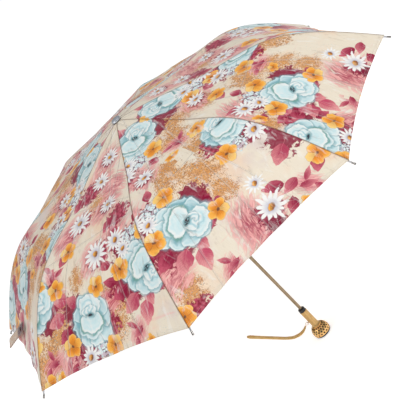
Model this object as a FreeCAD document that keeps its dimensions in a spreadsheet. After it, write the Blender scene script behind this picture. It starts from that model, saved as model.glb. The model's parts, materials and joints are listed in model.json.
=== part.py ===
import FreeCAD, Part
import math
import os
import Sketcher
from FreeCAD import Placement, Rotation, Vector

# A compact folding umbrella, open. The origin is the centre of the flat bottom of the
# handle's knob; +Z runs up the shaft to the crown. Eight identical rib chains stand at
# equal azimuths, the first over +X. Lengths are in millimetres and angles in degrees.

DIMENSIONS = {
    # knob, grip and collar of the handle
    "knob_radius": 19.2, "knob_centre_height": 8.0, "knob_wall": 1.2,
    "knob_rim_angle": 11.4, "knob_neck_angle": 59.2, "base_height": 4.0,
    "base_inset": 0.4, "core_gap": 0.3, "hole_height": 3.4, "hole_width": 3.0,
    "hole_count": 18, "hole_row_step": 15.5,
    "grip_radius": 7.8, "grip_bottom": 24.9, "grip_top": 67.0, "flare_radius": 9.9,
    "flare_height": 5.0, "collar_radius": 7.2, "collar_height": 7.0, "collar_round": 1.6,
    "screw_head_radius": 3.4, "screw_head_height": 1.6, "screw_radius": 1.6,
    "screw_length": 20.0, "screw_fit": 0.2, "grip_fit": 0.15,
    # wrist strap, its ring and the staple on the grip
    "staple_radius": 1.5, "staple_wire": 0.45, "staple_height": 39.5, "staple_reach": 8.9,
    "ring_radius": 3.0, "ring_wire": 0.45, "ring_reach": 12.2,
    "strap_width": 5.0, "strap_thickness": 4.2,
    # telescopic shaft
    "lower_radius": 3.3, "lower_wall": 0.4, "lower_bottom": 29.0, "lower_top": 257.0,
    "middle_radius": 3.9, "middle_wall": 0.4, "middle_bottom": 232.0, "middle_top": 407.0,
    "top_radius": 4.6, "top_wall": 0.5, "top_bottom": 382.0, "tube_fit": 0.1,
    # crown, cap and runner
    "crown_pivot_height": 605.0, "pivot_radius": 9.0, "crown_radius": 11.6,
    "hub_radius": 6.4, "fin_half_height": 3.0, "hub_drop": 5.0, "hub_rise": 4.5,
    "tube_seat": 2.0, "slot_reach": 10.0, "slot_height": 20.0,
    "post_radius": 3.2, "post_top": 12.5, "rib_slot": 3.9,
    "wire_radius": 0.5, "wire_groove": 0.6,
    "washer_seat": 8.0, "washer_radius": 8.4, "washer_height": 1.2, "cap_radius": 9.6, "cap_height": 5.4,
    "cap_round": 3.6,
    "runner_bore": 4.8, "runner_sleeve_radius": 6.6, "runner_flange_radius": 11.2,
    "runner_rise": 5.0, "runner_length": 22.0, "foot_slot": 1.9, "foot_slot_centre": 2.4,
    "catch_width": 2.6, "catch_length": 13.0, "catch_gap": 0.25, "catch_depth": 1.2,
    "catch_drop": 14.0,
    # rib chain
    "rib_count": 8, "top_length": 161.0, "mid_length": 156.0, "outer_length": 191.0,
    "joint_offset": 2.4, "joint_gap": 2.2, "eye_radius": 2.0, "eye_hole": 0.85,
    "lug_radius": 1.5, "lug_half": 0.6, "fork_inner": 0.8, "fork_outer": 1.6,
    "pin_radius": 0.6, "pin_hole": 0.75, "root_length": 5.0, "fork_depth": 3.6,
    "top_height": 3.4, "top_width": 3.4, "rib_wall": 0.5, "mid_height": 3.2,
    "outer_height": 2.6, "outer_width": 2.4, "outer_bow_radius": 1105.0,
    "hollow_start": 6.0, "hollow_stop": 10.0, "rod_reach": 6.0,
    "spigot_radius": 0.9, "spigot_length": 4.5, "tip_radius": 1.7, "tip_length": 6.2,
    "tip_ball": 2.0,
    "stretcher_reach": 95.0, "stretcher_length": 105.0, "stretcher_height": 2.6,
    "stretcher_near": 1.9, "stretcher_far": 2.9, "foot_radius": 1.7, "foot_pivot": 8.7,
    "rivet_radius": 0.7, "rivet_hole": 0.9,
    # canopy and its tie strap
    "cloth_thickness": 1.0, "hem_radius": 466.0, "hem_height": 421.8, "cloth_hole": 4.0,
    "gore_hollow": 0.02, "seam_over_knee": 3.0, "seam_over_bend": 6.0,
    "seam_over_rib": 3.8, "hub_seam_radius": 12.0, "hub_seam_rise": 7.6,
    "tie_width": 19.0, "tie_thickness": 1.4, "tie_point": 6.0, "tie_raise": 3.2,
    "snap_place": 24.0,
    "snap_radius": 5.0, "snap_height": 1.8,
}

# Open angles below horizontal of the three rib sections, chosen so that the chain's
# knees and its tip touch the canopy's seam line.
TOP_TILT = 11.4
MID_TILT = 12.0
OUTER_TILT = 40.0
HOLE_ROWS = 4
TOP_ROW_LATITUDE = 47.0
STRAP_AZIMUTH = 198.0
CATCH_AZIMUTH = 22.5

# the tie strap's two ends on the gore it is sewn to, and the way that gore faces there
TIE_START = Vector(-361.0, -142.0, 463.5)
TIE_END = Vector(-466.0, -39.0, 410.5)
TIE_FACING = Vector(-0.621, -0.257, 0.740)

doc = FreeCAD.newDocument("folding_umbrella")


def make_sheet():
    """Write every driving dimension to its own aliased cell."""
    sheet = doc.addObject("Spreadsheet::Sheet", "Dims")
    for row, (name, value) in enumerate(DIMENSIONS.items(), start=1):
        sheet.set(f"A{row}", name)
        sheet.set(f"B{row}", str(value))
        sheet.setAlias(f"B{row}", name)
    doc.recompute()
    return sheet


class Dim:
    """A length that knows its value and the sheet expression that gives it."""

    def __init__(self, value, text):
        self.value = value
        self.text = text

    def join(self, other, sign):
        other = as_dim(other)
        value = {"+": self.value + other.value, "-": self.value - other.value,
                 "*": self.value * other.value}[sign]
        return Dim(value, f"({self.text} {sign} {other.text})")

    def __add__(self, other):
        return self.join(other, "+")

    def __sub__(self, other):
        return self.join(other, "-")

    def __mul__(self, other):
        return self.join(other, "*")

    def __neg__(self):
        return as_dim(0) - self


def as_dim(number):
    """Wrap a plain number, so that it can stand beside sheet dimensions."""
    return number if isinstance(number, Dim) else Dim(float(number), repr(float(number)))


def size(name):
    """The sheet dimension of that name."""
    return Dim(float(SHEET.get(name)), f"Dims.{name}")


def value(name):
    """The sheet dimension's plain number."""
    return float(SHEET.get(name))


SHEET = make_sheet()
ACROSS_Y = Rotation(Vector(1, 0, 0), -90)
PARTS = []


# ---- helpers that draw in a body ---------------------------------------------------

def new_body(label):
    """Start a PartDesign body for one piece."""
    body = doc.addObject("PartDesign::Body", label)
    body.Label = label
    PARTS.append(body)
    return body


def origin_feature(body, role):
    """One of the body's own origin planes or axes."""
    return [item for item in body.Origin.OriginFeatures if item.Role == role][0]


def new_sketch(body, role, name):
    sketch = body.newObject("Sketcher::SketchObject", name)
    sketch.AttachmentSupport = [(origin_feature(body, role), "")]
    sketch.MapMode = "FlatFace"
    return sketch


def tie(sketch, kind, item, point, length):
    """Hold one point of the sketch at a sheet distance from its origin."""
    number = sketch.addConstraint(
        Sketcher.Constraint(kind, -1, 1, item, point, length.value))
    sketch.setExpression(f"Constraints[{number}]", length.text)


def outline(body, role, name, corners):
    """A closed outline of straight lines whose corners are bound to the sheet."""
    sketch = new_sketch(body, role, name)
    points = [(as_dim(across), as_dim(up)) for across, up in corners]
    count = len(points)
    for index, (across, up) in enumerate(points):
        next_across, next_up = points[(index + 1) % count]
        start = Vector(across.value, up.value, 0)
        end = Vector(next_across.value, next_up.value, 0)
        sketch.addGeometry(Part.LineSegment(start, end))
    for index in range(count):
        sketch.addConstraint(
            Sketcher.Constraint("Coincident", index, 2, (index + 1) % count, 1))
    for index, (across, up) in enumerate(points):
        tie(sketch, "DistanceX", index, 1, across)
        tie(sketch, "DistanceY", index, 1, up)
    return sketch


def pad(body, sketch, name, thickness):
    """Thicken an outline by the same amount to both sides of its plane."""
    feature = body.newObject("PartDesign::Pad", name)
    feature.Profile = sketch
    feature.Midplane = True
    feature.setExpression("Length", thickness.text)
    return feature


def revolve(body, corners, name="turned"):
    """Turn an outline in the (radius, height) plane once round the body's Z axis."""
    sketch = outline(body, "XZ_Plane", f"{name}_profile", corners)
    feature = body.newObject("PartDesign::Revolution", name)
    feature.Profile = sketch
    feature.ReferenceAxis = (sketch, ["V_Axis"])
    feature.Angle = 360
    return feature


def bind(feature, sizes, place, rotation=Rotation()):
    """Bind a primitive's sizes and the base of its placement to the sheet."""
    feature.Placement = Placement(Vector(*[as_dim(item).value for item in place]), rotation)
    for name, length in sizes.items():
        feature.setExpression(name, as_dim(length).text)
    for axis, length in zip("xyz", place):
        if isinstance(length, Dim):
            feature.setExpression(f"Placement.Base.{axis}", length.text)
    return feature


def box(body, kind, name, lengths, place, rotation=Rotation()):
    feature = body.newObject(f"PartDesign::{kind}Box", name)
    sizes = dict(zip(("Length", "Width", "Height"), lengths))
    return bind(feature, sizes, place, rotation)


def rod(body, kind, name, radius, height, place, rotation=Rotation()):
    feature = body.newObject(f"PartDesign::{kind}Cylinder", name)
    return bind(feature, {"Radius": radius, "Height": height}, place, rotation)


def pattern(body, feature, count):
    """Repeat a feature round the body's Z axis."""
    ring = body.newObject("PartDesign::PolarPattern", f"{feature.Name}_ring")
    ring.Originals = [feature]
    ring.Axis = (origin_feature(body, "Z_Axis"), [""])
    ring.Angle = 360
    ring.setExpression("Occurrences", count.text)
    body.Tip = ring
    return ring


def in_rib_plane(azimuth, tilt, reach, height):
    """Place a rib piece: its X runs outward and down by tilt, its Y round the shaft."""
    turn = Rotation(Vector(0, 0, 1), azimuth)
    base = turn.multVec(Vector(reach, 0, height))
    return Placement(base, turn.multiply(Rotation(Vector(0, 1, 0), tilt)))


# ---- handle ------------------------------------------------------------------------

def make_knob():
    """The pierced ball shell, the dark core that shows through it, and the base disc."""
    radius = size("knob_radius")
    centre = size("knob_centre_height")
    shell = new_body("knob_shell")
    angles = {"Angle1": -size("knob_rim_angle"), "Angle2": size("knob_neck_angle"),
              "Angle3": 360}
    ball = shell.newObject("PartDesign::AdditiveSphere", "ball")
    bind(ball, {"Radius": radius, **angles}, (0, 0, centre))
    hollow = shell.newObject("PartDesign::SubtractiveSphere", "hollow")
    bind(hollow, {"Radius": radius - size("knob_wall"), "Angle1": -90, "Angle2": 90,
                  "Angle3": 360}, (0, 0, centre))
    for row in range(HOLE_ROWS):
        latitude = TOP_ROW_LATITUDE - row * value("hole_row_step")
        stagger = (row % 2) * 180 / value("hole_count")
        turn = Rotation(Vector(0, 0, 1), stagger)
        turn = turn.multiply(Rotation(Vector(0, 1, 0), -latitude))
        corner = turn.multVec(Vector(10, -value("hole_width") / 2, -value("hole_height") / 2))
        hole = shell.newObject("PartDesign::SubtractiveBox", f"hole_{row + 1}")
        bind(hole, {"Length": radius, "Width": size("hole_width"),
                    "Height": size("hole_height")}, (corner.x, corner.y, 0), turn)
        hole.setExpression("Placement.Base.z", (centre + corner.z).text)
        pattern(shell, hole, size("hole_count"))

    core = new_body("knob_core")
    inner = radius - size("knob_wall") - size("core_gap")
    ball = core.newObject("PartDesign::AdditiveSphere", "ball")
    bind(ball, {"Radius": inner, "Angle1": -10, "Angle2": size("knob_neck_angle"),
                "Angle3": 360}, (0, 0, centre))
    rod(core, "Subtractive", "screw_hole", size("screw_radius") + size("screw_fit"),
        size("grip_top"), (0, 0, 0))

    base = new_body("knob_base")
    rim = radius - size("base_inset")
    revolve(base, [(size("screw_head_radius") + size("screw_fit"), 0), (rim * 0.9, 0), (rim * 0.965, 1.2),
                   (rim * 0.98, size("base_height")),
                   (size("screw_radius") + size("screw_fit"), size("base_height")),
                   (size("screw_radius") + size("screw_fit"), size("screw_head_height") + size("screw_fit")),
                   (size("screw_head_radius") + size("screw_fit"),
                    size("screw_head_height") + size("screw_fit"))])

    screw = new_body("knob_screw")
    head = size("screw_head_height")
    revolve(screw, [(0, size("screw_fit")), (size("screw_head_radius"), size("screw_fit")),
                    (size("screw_head_radius"), head), (size("screw_radius"), head),
                    (size("screw_radius"), size("screw_length")),
                    (0, size("screw_length"))])


def make_grip():
    """The grip, flared where it meets the knob, its soldered staple, collar and ring."""
    bore = size("lower_radius") + size("grip_fit")
    bottom = size("grip_bottom")
    flare = size("flare_height")
    top = size("grip_top")
    radius = size("grip_radius")
    grip = new_body("grip_sleeve")
    swell = size("flare_radius") - radius
    revolve(grip, [(bore, bottom), (size("flare_radius"), bottom),
                   (radius + swell * 0.42, bottom + flare * 0.3),
                   (radius + swell * 0.12, bottom + flare * 0.65),
                   (radius, bottom + flare), (radius, top - 0.4),
                   (radius - 0.4, top), (bore, top)])
    turn = Rotation(Vector(0, 0, 1), STRAP_AZIMUTH)
    centre = turn.multVec(Vector(value("staple_reach"), 0, 0))
    staple = grip.newObject("PartDesign::AdditiveTorus", "staple")
    bind(staple, {"Radius1": size("staple_radius"), "Radius2": size("staple_wire")},
         (centre.x, centre.y, size("staple_height")))
    rod(grip, "Subtractive", "tube_bore", bore, top, (0, 0, 0))

    collar = new_body("handle_collar")
    edge = size("collar_round")
    reach = size("collar_radius")
    height = size("collar_height")
    revolve(collar, [(bore, top + 0.05), (reach, top + 0.05), (reach, top + height - edge),
                     (reach - edge * 0.3, top + height - edge * 0.3),
                     (reach - edge, top + height), (bore, top + height)])

    ring = new_body("strap_ring")
    hoop = ring.newObject("PartDesign::AdditiveTorus", "hoop")
    bind(hoop, {"Radius1": size("ring_radius"), "Radius2": size("ring_wire")},
         (size("ring_reach"), 0, size("staple_height")), ACROSS_Y)
    ring.Placement = Placement(Vector(0, 0, 0), turn)


def make_wrist_strap():
    """A flattened doubled cord: it leaves the ring downward, bends and runs outward."""
    # the cord's middle line in the plane that holds the ring, as (outward, upward)
    path = [(17.2, 38.2), (22.0, 35.2), (28.5, 33.0), (38.0, 33.0), (51.1, 38.2),
            (63.0, 49.6), (92.1, 84.6), (111.5, 108.2), (114.5, 111.8)]
    half = value("strap_thickness") / 2
    widths = [0.35, 0.6, 0.85, 1.0, 1.0, 1.0, 1.0, 1.0, 0.55]
    upper = []
    lower = []
    for index, (across, up) in enumerate(path):
        before = path[max(index - 1, 0)]
        after = path[min(index + 1, len(path) - 1)]
        along = Vector(after[0] - before[0], after[1] - before[1], 0).normalize()
        offset = Vector(-along.y, along.x, 0) * (half * widths[index])
        upper.append((across + offset.x, up + offset.y))
        lower.append((across - offset.x, up - offset.y))
    strap = new_body("wrist_strap")
    cord = outline(strap, "XZ_Plane", "cord_outline", upper + lower[::-1])
    pad(strap, cord, "cord", size("strap_width"))
    strap.Placement = Placement(Vector(0, 0, 0), Rotation(Vector(0, 0, 1), STRAP_AZIMUTH))


# ---- shaft, crown, cap and runner ----------------------------------------------------

def make_tube(label, radius, wall, bottom, top):
    tube = new_body(label)
    revolve(tube, [(radius - wall, bottom), (radius, bottom), (radius, top),
                   (radius - wall, top)])


def make_shaft():
    """Three telescopic tubes, the widest at the top."""
    seat = size("crown_pivot_height") + size("tube_seat") - size("tube_fit")
    for name, top in (("lower", size("lower_top")), ("middle", size("middle_top")),
                      ("top", seat)):
        make_tube(f"{name}_tube", size(f"{name}_radius"), size(f"{name}_wall"),
                  size(f"{name}_bottom"), top)


def make_crown():
    """The notched crown, its hinge wire, and the cap that clamps the cloth on its post."""
    pivot = size("crown_pivot_height")
    bore = size("top_radius") + size("tube_fit")
    crown = new_body("crown")
    revolve(crown, [(0, pivot + size("tube_seat")), (bore, pivot + size("tube_seat")),
                    (bore, pivot - size("hub_drop")),
                    (size("hub_radius"), pivot - size("hub_drop")),
                    (size("hub_radius"), pivot - size("fin_half_height")),
                    (size("crown_radius"), pivot - size("fin_half_height")),
                    (size("crown_radius"), pivot + size("fin_half_height")),
                    (size("hub_radius"), pivot + size("hub_rise")),
                    (size("post_radius"), pivot + size("hub_rise")),
                    (size("post_radius"), pivot + size("post_top")),
                    (0, pivot + size("post_top"))])
    slot = box(crown, "Subtractive", "rib_slot", (size("slot_reach"), size("rib_slot"), size("slot_height")),
               (size("hub_radius"), -(size("rib_slot") * 0.5),
                pivot - size("slot_height") * 0.5))
    pattern(crown, slot, size("rib_count"))
    groove = crown.newObject("PartDesign::SubtractiveTorus", "wire_groove")
    bind(groove, {"Radius1": size("pivot_radius"), "Radius2": size("wire_groove")},
         (0, 0, pivot))
    crown.Tip = groove

    wire = new_body("crown_wire")
    loop = wire.newObject("PartDesign::AdditiveTorus", "loop")
    bind(loop, {"Radius1": size("pivot_radius"), "Radius2": size("wire_radius")},
         (0, 0, pivot))

    seat = pivot + size("washer_seat")
    hole = size("post_radius") + 0.1
    washer = new_body("cap_washer")
    revolve(washer, [(hole, seat), (size("washer_radius"), seat),
                     (size("washer_radius"), seat + size("washer_height")),
                     (hole, seat + size("washer_height"))])

    bottom = seat + size("washer_height") + 0.05
    top = bottom + size("cap_height")
    edge = size("cap_round")
    reach = size("cap_radius")
    ceiling = pivot + size("post_top") + 0.1
    cap = new_body("top_cap")
    revolve(cap, [(hole, bottom), (reach, bottom), (reach, top - edge),
                  (reach - edge * 0.16, top - edge * 0.56),
                  (reach - edge * 0.5, top - edge * 0.22), (reach - edge, top - 0.2),
                  (0, top), (0, ceiling), (hole, ceiling)])


def runner_height():
    """Height of the stretchers' pivots on the runner when the umbrella is open."""
    tilt = math.radians(TOP_TILT)
    reach = value("pivot_radius") + value("stretcher_reach") * math.cos(tilt)
    height = value("crown_pivot_height") - value("stretcher_reach") * math.sin(tilt)
    across = reach - value("foot_pivot")
    return height - math.sqrt(value("stretcher_length") ** 2 - across ** 2)


def make_runner():
    """The sliding runner: a slotted flange for the stretchers' feet over a sleeve."""
    runner = new_body("runner")
    bore = size("runner_bore")
    sleeve = size("runner_sleeve_radius")
    flange = size("runner_flange_radius")
    rise = size("runner_rise")
    drop = -size("runner_length")
    revolve(runner, [(bore, drop), (sleeve, drop), (sleeve, -size("fin_half_height")),
                     (flange, -size("fin_half_height")), (flange, size("fin_half_height")),
                     (sleeve, rise), (bore, rise)])
    slot = box(runner, "Subtractive", "foot_slot",
               (size("slot_reach"), size("foot_slot"), size("slot_height")),
               (sleeve, size("foot_slot_centre") - size("foot_slot") * 0.5,
                -size("slot_height") * 0.5))
    pattern(runner, slot, size("rib_count"))
    width = size("catch_width")
    gap = size("catch_gap")
    length = size("catch_length")
    turn = Rotation(Vector(0, 0, 1), CATCH_AZIMUTH)
    room = width + gap * 2
    corner = turn.multVec(Vector(4, -room.value / 2, 0))
    window = runner.newObject("PartDesign::SubtractiveBox", "catch_window")
    bind(window, {"Length": 6, "Width": room, "Height": length + gap * 2},
         (corner.x, corner.y, -size("catch_drop") - length * 0.5 - gap), turn)
    runner.Tip = window
    runner.Placement = Placement(Vector(0, 0, runner_height()), Rotation())

    catch = new_body("runner_catch")
    inner = size("top_radius") + 0.35
    outer = sleeve + size("catch_depth") * 0.5
    middle = -size("catch_drop")
    lever = outline(catch, "XZ_Plane", "lever_outline",
                    [(inner + 0.9, middle - length * 0.5), (outer, middle - length * 0.5),
                     (outer, middle + length * 0.3), (sleeve, middle + length * 0.5),
                     (inner, middle + length * 0.5), (inner, middle + length * 0.3),
                     (inner + 0.9, middle + length * 0.15)])
    pad(catch, lever, "lever", width)
    catch.Placement = Placement(Vector(0, 0, runner_height()), turn)


# ---- rib chain -----------------------------------------------------------------------

def make_fork(body, height, side):
    """A fork round a knee pin at the body's origin; the section runs off to one side.

    Its middle line is offset from the pin, away from the side that it folds to.
    """
    off = size("joint_offset") * side
    edge = size("lug_radius") * side
    half = height * (0.5 * side)
    root = size("root_length")
    gap = size("joint_gap")
    plates = outline(body, "XZ_Plane", "fork_outline",
                     [(-size("lug_radius"), 0), (0, -edge), (root, off - half),
                      (root, off + half), (gap, off + half)])
    pad(body, plates, "fork", size("fork_outer") * 2)
    rod(body, "Additive", "fork_round", size("lug_radius"), size("fork_outer") * 2,
        (0, -size("fork_outer"), 0), ACROSS_Y)
    box(body, "Subtractive", "fork_gap", (size("fork_depth") + 3, size("fork_inner") * 2, 12),
        (-3, -size("fork_inner"), -6))
    rod(body, "Additive", "pin", size("pin_radius"), size("fork_outer") * 2,
        (0, -size("fork_outer"), 0), ACROSS_Y)


def make_lug(body, length, middle, height, pin_height, side):
    """A central lug at the far end of a section, bored for the next section's pin."""
    half = height * 0.5
    edge = size("lug_radius") * side
    root = length - size("root_length") - 1
    near = middle - half * side
    far = middle + half * side
    tongue = outline(body, "XZ_Plane", "lug_outline",
                     [(root, near), (root, far), (length, pin_height + edge),
                      (length + size("lug_radius"), pin_height),
                      (length - size("joint_gap"), near)])
    pad(body, tongue, "lug", size("lug_half") * 2)
    rod(body, "Additive", "lug_round", size("lug_radius"), size("lug_half") * 2,
        (length, -size("lug_half"), pin_height), ACROSS_Y)
    rod(body, "Subtractive", "pin_hole", size("pin_hole"), size("rod_reach"),
        (length, -(size("rod_reach") * 0.5), pin_height), ACROSS_Y)


def make_top_rib(number, azimuth):
    """The inner channel section, hinged on the crown wire."""
    rib = new_body(f"top_rib_{number}")
    length = size("top_length")
    height = size("top_height")
    width = size("top_width")
    wall = size("rib_wall")
    box(rib, "Additive", "channel", (length - size("joint_gap"), width, height),
        (0, -(width * 0.5), -(height * 0.5)))
    rod(rib, "Additive", "eye", size("eye_radius"), width, (0, -(width * 0.5), 0), ACROSS_Y)
    inside = width - wall * 2
    box(rib, "Subtractive", "hollow",
        (length - size("hollow_start") - size("hollow_stop"), inside, height - wall),
        (size("hollow_start"), -(inside * 0.5), -(height * 0.5)))
    rod(rib, "Subtractive", "wire_hole", size("eye_hole"), size("rod_reach"),
        (0, -(size("rod_reach") * 0.5), 0), ACROSS_Y)
    rod(rib, "Subtractive", "rivet_hole", size("rivet_hole"), size("rod_reach") * 0.5,
        (size("stretcher_reach"), 0, 0), ACROSS_Y)
    make_lug(rib, length, as_dim(0), height, size("joint_offset"), 1)
    rib.Placement = in_rib_plane(azimuth, TOP_TILT, value("pivot_radius"),
                                 value("crown_pivot_height"))


def chain_points():
    """Open positions of the two knee pins and the outer section's end, as (reach, height)."""
    off = value("joint_offset")

    def step(start, tilt, along, up):
        angle = math.radians(tilt)
        return (start[0] + along * math.cos(angle) + up * math.sin(angle),
                start[1] - along * math.sin(angle) + up * math.cos(angle))

    crown = (value("pivot_radius"), value("crown_pivot_height"))
    inner_knee = step(crown, TOP_TILT, value("top_length"), off)
    outer_knee = step(inner_knee, MID_TILT, value("mid_length"), -2 * off)
    tip = step(outer_knee, OUTER_TILT, value("outer_length"), off)
    return inner_knee, outer_knee, tip


def make_mid_rib(number, azimuth):
    """The middle section: it folds up against the cloth side of the inner section."""
    rib = new_body(f"mid_rib_{number}")
    length = size("mid_length")
    height = size("mid_height")
    off = size("joint_offset")
    make_fork(rib, height, -1)
    box(rib, "Additive", "bar", (length - size("joint_gap") * 2, size("fork_outer") * 2, height),
        (size("joint_gap"), -size("fork_outer"), -off - height * 0.5))
    inside = (size("fork_outer") - size("rib_wall")) * 2
    box(rib, "Subtractive", "hollow",
        (length - size("hollow_stop") * 2, inside, height - size("rib_wall")),
        (size("hollow_stop"), -(inside * 0.5), -off - height * 0.5))
    make_lug(rib, length, -off, height, -(off * 2), -1)
    inner_knee = chain_points()[0]
    rib.Placement = in_rib_plane(azimuth, MID_TILT, *inner_knee)


def make_outer_rib(number, azimuth):
    """The long bowed outer section and the metal tip that the hem's corner is sewn to."""
    rib = new_body(f"outer_rib_{number}")
    length = size("outer_length")
    height = size("outer_height")
    off = size("joint_offset")
    gap = size("joint_gap")
    bow = size("outer_bow_radius")
    make_fork(rib, height, 1)
    half_span = value("outer_length") / 2
    drop = math.sqrt(value("outer_bow_radius") ** 2 - half_span ** 2)
    centre = Vector(half_span, value("joint_offset") - drop, 0)
    sketch = new_sketch(rib, "XZ_Plane", "bow_outline")
    ends = []
    for radius in (bow + height * 0.5, bow - height * 0.5):
        angles = []
        for across in (value("outer_length"), value("joint_gap")):
            angles.append(math.acos((across - half_span) / radius.value))
        circle = Part.Circle(centre, Vector(0, 0, 1), radius.value)
        item = sketch.addGeometry(Part.ArcOfCircle(circle, angles[0], angles[1]))
        ends.append(item)
        tie(sketch, "DistanceX", item, 3, length * 0.5)
        tie(sketch, "DistanceY", item, 3, off - drop)
        held = sketch.addConstraint(Sketcher.Constraint("Radius", item, radius.value))
        sketch.setExpression(f"Constraints[{held}]", radius.text)
        tie(sketch, "DistanceX", item, 1, length)
        tie(sketch, "DistanceX", item, 2, gap)
    outer, inner = ends
    for point in (1, 2):
        start = sketch.getPoint(outer, point)
        end = sketch.getPoint(inner, point)
        line = sketch.addGeometry(Part.LineSegment(start, end))
        sketch.addConstraint(Sketcher.Constraint("Coincident", line, 1, outer, point))
        sketch.addConstraint(Sketcher.Constraint("Coincident", line, 2, inner, point))
    pad(rib, sketch, "bar", size("outer_width"))
    rod(rib, "Additive", "spigot", size("spigot_radius"), size("spigot_length"),
        (length, 0, off), Rotation(Vector(0, 1, 0), 90))
    outer_knee = chain_points()[1]
    rib.Placement = in_rib_plane(azimuth, OUTER_TILT, *outer_knee)

    tip = new_body(f"rib_tip_{number}")
    reach = size("tip_length")
    hole = size("spigot_radius") + 0.08
    ball = size("tip_ball")
    revolve(tip, [(hole, 0.1), (size("tip_radius"), 0.1), (size("tip_radius"), reach - ball),
                  (ball, reach - ball * 0.6), (ball, reach + ball * 0.2),
                  (ball * 0.7, reach + ball * 0.7), (0, reach + ball * 0.9),
                  (0, size("spigot_length") + 0.1), (hole, size("spigot_length") + 0.1)])
    tip.Placement = in_rib_plane(azimuth, OUTER_TILT + 90, *chain_points()[2])


def make_stretcher(number, azimuth):
    """A flat bar beside the rib, riveted to it and reaching down to the runner."""
    bar = new_body(f"stretcher_{number}")
    near = size("stretcher_near")
    length = size("stretcher_length")
    height = size("stretcher_height")
    depth = size("stretcher_far") - near
    box(bar, "Additive", "bar", (length, depth, height), (0, near, -(height * 0.5)))
    for name, place in (("head", 0), ("foot", length)):
        rod(bar, "Additive", name, size("foot_radius"), depth, (place, near, 0), ACROSS_Y)
    rod(bar, "Subtractive", "foot_hole", size("eye_hole"), size("rod_reach"),
        (length, 0, 0), ACROSS_Y)
    rod(bar, "Additive", "rivet", size("rivet_radius"), near - 0.6, (0, 0.6, 0), ACROSS_Y)
    tilt = math.radians(TOP_TILT)
    reach = value("pivot_radius") + value("stretcher_reach") * math.cos(tilt)
    rivet = value("crown_pivot_height") - value("stretcher_reach") * math.sin(tilt)
    slope = math.degrees(math.atan2(rivet - runner_height(), reach - value("foot_pivot")))
    bar.Placement = in_rib_plane(azimuth, 180 - slope, reach, rivet)


# ---- cloth ---------------------------------------------------------------------------

def seam_points():
    """The canopy's seam line over a rib, from the crown out to the hem's corner."""
    inner_knee, outer_knee, _ = chain_points()
    bow = value("outer_bow_radius")
    length = value("outer_length")
    angle = math.radians(OUTER_TILT)
    points = [(value("hub_seam_radius"), value("crown_pivot_height") + value("hub_seam_rise")),
              (inner_knee[0], inner_knee[1] + value("seam_over_knee")),
              (outer_knee[0], outer_knee[1] + value("seam_over_bend"))]
    for share in (0.2, 0.4, 0.6, 0.8):
        along = share * length
        rise = math.sqrt(bow ** 2 - (along - length / 2) ** 2)
        rise -= math.sqrt(bow ** 2 - length ** 2 / 4)
        up = value("joint_offset") + rise + value("seam_over_rib")
        points.append((outer_knee[0] + along * math.cos(angle) + up * math.sin(angle),
                       outer_knee[1] - along * math.sin(angle) + up * math.cos(angle)))
    points.append((value("hem_radius"), value("hem_height")))
    return points


def make_canopy():
    """Eight gores as one thin closed shell: a corner over each rib, a hollow between."""
    count = int(value("rib_count"))
    hollow = math.cos(math.pi / count) * (1 - value("gore_hollow"))

    def loft(lowered):
        wires = []
        for reach, height in seam_points():
            corners = []
            for index in range(2 * count):
                radius = reach * (hollow if index % 2 else 1.0)
                angle = math.pi * index / count
                corners.append(Vector(radius * math.cos(angle), radius * math.sin(angle),
                                      height - lowered))
            wires.append(Part.makePolygon(corners + corners[:1]))
        return Part.makeLoft(wires, True, True)

    cloth = loft(0).cut(loft(value("cloth_thickness")))
    # the inner loft stops one thickness above the crown, so a flat disc closes the top
    hole = Part.makeCylinder(value("cloth_hole"), 60,
                             Vector(0, 0, value("crown_pivot_height") - 20))
    canopy = doc.addObject("Part::Feature", "canopy")
    canopy.Label = "canopy"
    canopy.Shape = cloth.cut(hole)
    PARTS.append(canopy)


def make_tie_strap():
    """The closing band, sewn to one gore and running past its hem, with its snap."""
    along = (TIE_END - TIE_START).normalize()
    side = TIE_FACING.cross(along).normalize()
    normal = along.cross(side).normalize()
    length = as_dim(TIE_START.distanceToPoint(TIE_END))
    turn = Rotation(along, side, normal, "XYZ")
    band = new_body("tie_strap")
    width = size("tie_width")
    half = width * 0.5
    point = size("tie_point")
    sketch = outline(band, "XY_Plane", "band_outline",
                     [(0, -half), (length - point, -half), (length, -half + point),
                      (length, half - point), (length - point, half), (0, half)])
    pad(band, sketch, "band", size("tie_thickness"))
    place = Placement(TIE_START + normal * value("tie_raise"), turn)
    band.Placement = place

    snap = new_body("tie_snap")
    top = size("tie_thickness") * 0.5 + 0.05
    rise = top + size("snap_height")
    revolve(snap, [(0, top), (size("snap_radius"), top), (size("snap_radius"), rise - 0.6),
                   (size("snap_radius") - 0.6, rise), (0, rise)])
    snap.Placement = Placement(place.multVec(Vector(value("snap_place"), 0, 0)), turn)


# ---- build, check and write ----------------------------------------------------------

def build():
    make_knob()
    make_grip()
    make_wrist_strap()
    make_shaft()
    make_crown()
    make_runner()
    count = int(value("rib_count"))
    for index in range(count):
        azimuth = -360.0 / count * index
        make_top_rib(index + 1, azimuth)
        make_mid_rib(index + 1, azimuth)
        make_outer_rib(index + 1, azimuth)
        make_stretcher(index + 1, azimuth)
    make_canopy()
    make_tie_strap()
    doc.recompute()


def check():
    """Stop if any object failed or any piece isn't one or more valid solids."""
    for item in doc.Objects:
        if "Invalid" in item.State or "Error" in item.State:
            raise RuntimeError(f"{item.Label} failed: {item.State}")
    for part in PARTS:
        if part.Shape.isNull() or not part.Shape.isValid() or len(part.Shape.Solids) != 1:
            raise RuntimeError(f"{part.Label} is not one valid solid")


def write():
    os.makedirs("parts", exist_ok=True)
    for part in PARTS:
        part.Shape.exportStep(f"parts/{part.Label}.step")
    print(len(PARTS), "pieces written")


build()
check()
write()
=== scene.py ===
import json
import math
import bpy
import numpy as np
from mathutils import Matrix, Vector

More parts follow.
